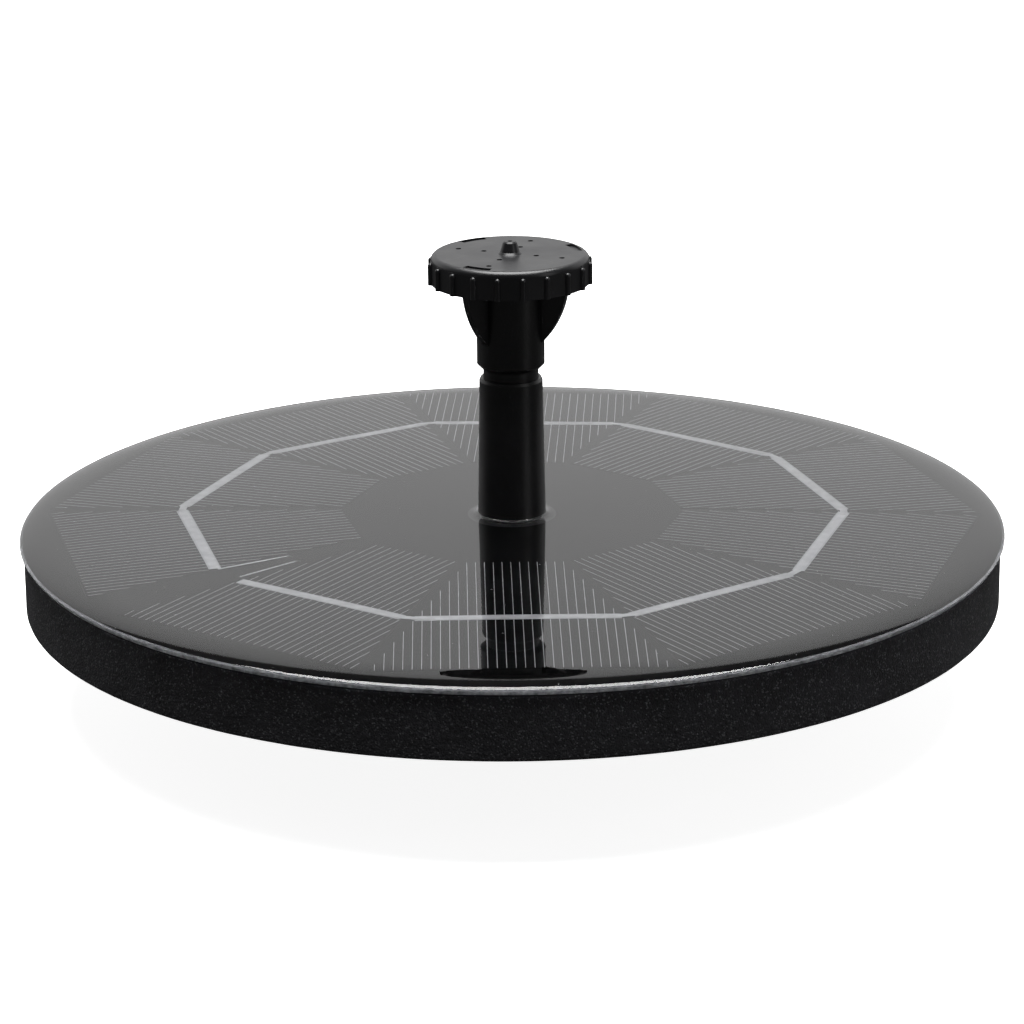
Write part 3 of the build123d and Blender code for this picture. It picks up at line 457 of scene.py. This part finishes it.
def make_silver_grid():
    """Printed fingers on each cell, parallel to its centre line, every FINGER_PITCH across. A
    finger starts where the wedge is wide enough for it. Solder edges each ribbon's two sides."""
    slope = tan(radians(CELL_PITCH / 2))
    reach = CELL_OUTER * slope - CELL_GAP / 2 - FINGER_MARGIN
    count = 2 * int(reach / FINGER_PITCH + 0.5)
    across = (np.arange(count) - (count - 1) / 2) * FINGER_PITCH
    start = np.maximum(CELL_INNER + FINGER_MARGIN,
                       (np.abs(across) + CELL_GAP / 2 + FINGER_MARGIN) / slope)
    end = CELL_OUTER - FINGER_MARGIN
    ends = np.stack([start, np.full(count, end)], -1)
    centres, directions, edge_centres, edge_directions = [], [], [], []
    for angle in np.radians(CELL_ANGLES):
        outward = np.array([cos(angle), sin(angle)])
        sideways = np.array([-sin(angle), cos(angle)])
        centres.append(across[:, None] * sideways)
        directions.append(np.tile(outward, (count, 1)))
        for side in (-1, 1):
            distance = RIBBON_DISTANCE + side * (RIBBON_WIDTH + SOLDER_EDGE) / 2
            edge_centres.append(distance * outward)
            edge_directions.append(sideways)
    square_bars("silver_fingers", np.concatenate(centres), np.tile(ends, (len(CELL_ANGLES), 1)),
                np.concatenate(directions), FINGER_WIDTH, FINGER_THICKNESS, SILVER_PASTE)
    half = np.array([[-RIBBON_LENGTH / 2, RIBBON_LENGTH / 2]])
    square_bars("solder_edges", np.array(edge_centres), np.tile(half, (len(edge_centres), 1)),
                np.array(edge_directions), SOLDER_EDGE, SOLDER_HEIGHT, SILVER_PASTE)


make_silver_grid()


# ------------------------------------------------------------------ foam float
def pump_opening(angle, centre):
    """Outline of the hole for the pump and its lead pocket, as the far crossing of a ray that
    leaves centre at each angle with the two rectangles that make it up."""
    dx, dy = np.cos(angle), np.sin(angle)
    far = np.zeros_like(angle)
    for left, right, front, back in FOAM_OPENINGS:
        tx = np.sort(np.stack([left * MM - centre[0], right * MM - centre[0]])[:, None] / dx, 0)
        ty = np.sort(np.stack([front * MM - centre[1], back * MM - centre[1]])[:, None] / dy, 0)
        enter = np.maximum(np.maximum(tx[0], ty[0]), 0)
        leave = np.minimum(tx[1], ty[1])
        far = np.where(leave > enter, np.maximum(far, leave), far)
    return centre[0] + far * dx, centre[1] + far * dy


def make_foam():
    """The float: share runs from the pump's hole to the round outside along the underside, up
    the cut wall, and back along the bowed top. The wall wanders a little, as cut foam does."""
    columns = 720
    angle = np.linspace(0, 2 * pi, columns, endpoint=False) + 0.001
    ix, iy = pump_opening(angle, OPENING_CENTRE)
    share = np.concatenate([[0.0], np.linspace(0.02, 1, 24)])
    flat_r = FOAM_RADIUS - FOAM_EDGE
    outer_x, outer_y = np.cos(angle), np.sin(angle)
    rows = []
    for s in share:
        x = (1 - s) * ix + s * flat_r * outer_x
        y = (1 - s) * iy + s * (flat_r * outer_y + DISC_Y)
        rows.append(np.stack([x, y, np.full(columns, FOAM_BOTTOM)], -1))
    top_edge = TAPE_BOTTOM - bow(FOAM_RADIUS)
    corner = np.linspace(0, pi / 2, 6)[1:]
    wall_r = np.concatenate([flat_r + FOAM_EDGE * np.sin(corner), np.full(24, FOAM_RADIUS)])
    wall_z = np.concatenate([FOAM_BOTTOM + FOAM_EDGE * (1 - np.cos(corner)),
                             np.linspace(FOAM_BOTTOM + FOAM_EDGE, top_edge, 25)[1:]])
    for r, z in zip(wall_r, wall_z):
        x, y = r * outer_x, r * outer_y
        wander = 0.07 * MM * ripple(x, y, z, 14 * MM, 3) + 0.03 * MM * ripple(x, y, z, 3 * MM, 5)
        inside = 1 - np.abs(wander) / r
        rows.append(np.stack([x * inside, y * inside + DISC_Y, np.full(columns, z)], -1))
    for s in share[::-1]:
        x = (1 - s) * ix + s * flat_r * outer_x
        y = (1 - s) * iy + s * (flat_r * outer_y + DISC_Y)
        z = TAPE_BOTTOM - bow(np.hypot(x, y - DISC_Y))
        rows.append(np.stack([x, y, z], -1))
    points, faces = closed_rings(np.array(rows))
    foam = mesh_object("foam_float", points, faces, MATERIALS["eva_foam"], "float")
    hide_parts("float_ring")


make_foam()


# ------------------------------------------------------------------ filter sponge
def make_sponge():
    """The sponge in the grille: a rounded brick, the unit sphere's direction raised to a small
    power along each axis, roughened by ripples."""
    low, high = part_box("filter_sponge")
    centre = np.array((low + high) / 2)
    half = np.array((high - low) / 2)
    around = np.linspace(0, 2 * pi, 160, endpoint=False)
    tilt = np.linspace(-pi / 2, pi / 2, 80)

    def squared(value):
        return np.sign(value) * np.abs(value) ** 0.18

    x = squared(np.cos(tilt))[:, None] * squared(np.cos(around))
    y = squared(np.sin(tilt))[:, None] * np.ones_like(around)
    z = squared(np.cos(tilt))[:, None] * squared(np.sin(around))
    grid = centre + np.stack([x, y, z], -1) * half
    rough = 0.12 * MM * ripple(grid[..., 0], grid[..., 1], grid[..., 2], 1.6 * MM, 11)
    grid = centre + (grid - centre) * (0.985 + (rough / half.min())[..., None])
    rows, columns = grid.shape[:2]
    index = np.arange(rows * columns).reshape(rows, columns)
    index[0] = index[0, 0]
    index[-1] = index[-1, 0]
    near, far = index[:-1], index[1:]
    faces = np.stack([near, far, np.roll(far, -1, 1), np.roll(near, -1, 1)], -1).reshape(-1, 4)
    sponge = mesh_object("sponge_block", grid.reshape(-1, 3), faces, MATERIALS["filter_foam"],
                         "grille")
    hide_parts("filter_sponge")


make_sponge()


# ------------------------------------------------------------------ studio
def make_floor():
    """Plain pale floor, lit evenly from within so that the shadow on it stays faint."""
    made, _, shader, _ = blank("pale floor")
    shader.inputs["Base Color"].default_value = linear("#E4E4E4")
    shader.inputs["Roughness"].default_value = 0.9
    shader.inputs["Emission Color"].default_value = linear("#FFFFFF")
    shader.inputs["Emission Strength"].default_value = 0.9
    mesh = bpy.data.meshes.new("floor")
    size = 15.0
    level = cad_low.z - 0.2 * MM
    mesh.from_pydata([(-size, -size, level), (size, -size, level), (size, size, level),
                      (-size, size, level)], [], [(0, 1, 2, 3)])
    mesh.materials.append(made)
    floor = bpy.data.objects.new("floor", mesh)
    bpy.context.scene.collection.objects.link(floor)
    # black parts keep their depth: the floor shows to the camera, but doesn't light them
    floor.visible_diffuse = False
    floor.visible_glossy = False


def area_light(name, place, target, width, height, radiance):
    """A rectangular lamp that faces target; its power goes with its area and its radiance."""
    lamp = bpy.data.lights.new(name, "AREA")
    lamp.shape = "RECTANGLE"
    lamp.size = width
    lamp.size_y = height
    lamp.energy = radiance * pi * width * height
    holder = bpy.data.objects.new(name, lamp)
    bpy.context.scene.collection.objects.link(holder)
    aim = Vector(target) - Vector(place)
    holder.rotation_euler = aim.to_track_quat("-Z", "Y").to_euler()
    holder.location = place


def make_world():
    """A pale wall behind the object, from the floor up to about 36 degrees, in a dim room."""
    world = bpy.data.worlds.new("studio")
    bpy.context.scene.world = world
    world.use_nodes = True
    tree = world.node_tree
    direction = add(tree, "ShaderNodeTexCoord").outputs["Generated"]
    split = add(tree, "ShaderNodeSeparateXYZ", {"Vector": direction})
    behind = spread(tree, split.outputs["Y"], 0, 1, 0.1, 0.5)
    below = spread(tree, split.outputs["Z"], 1, 0, sin(radians(35)), sin(radians(37.5)))
    above = spread(tree, split.outputs["Z"], 0, 1, -0.06, 0.0)
    band = add(tree, "ShaderNodeMath", {0: above, 1: below}, operation="MULTIPLY").outputs[0]
    wall = add(tree, "ShaderNodeMath", {0: behind, 1: band}, operation="MULTIPLY").outputs[0]
    glow = spread(tree, wall, 0.07, 0.85, 0, 1)
    backdrop = tree.nodes["Background"]
    backdrop.inputs["Color"].default_value = linear("#FFFFFF")
    tree.links.new(glow, backdrop.inputs["Strength"])


def make_camera():
    """Looks down on the panel from in front, at the height and distance that fill the frame."""
    pitch = radians(17.658)
    roll = radians(-0.45)
    camera = bpy.data.cameras.new("camera")
    camera.lens = 137.42
    camera.sensor_width = 36.0
    holder = bpy.data.objects.new("camera", camera)
    bpy.context.scene.collection.objects.link(holder)
    distance = 636.5 * MM
    place = Matrix.Translation((0, -distance * cos(pitch), RESIN_TOP + distance * sin(pitch)))
    holder.matrix_world = (place @ Matrix.Rotation(pi / 2 - pitch, 4, "X")
                           @ Matrix.Rotation(roll, 4, "Z"))
    bpy.context.scene.camera = holder


make_floor()
make_world()
area_light("overhead softbox", (0, 0.107, 1.03), (0, 0.107, 0), 0.9, 0.94, radiance=10.0)
strip_angle = radians(56)                       # to the right of the camera
strip_distance = 1.2
area_light("strip light",
           (strip_distance * sin(strip_angle), -strip_distance * cos(strip_angle), 0.35),
           (0, 0, 0.05), 0.33, 1.0, radiance=1.2)
make_camera()
bpy.context.scene.view_settings.view_transform = "Standard"
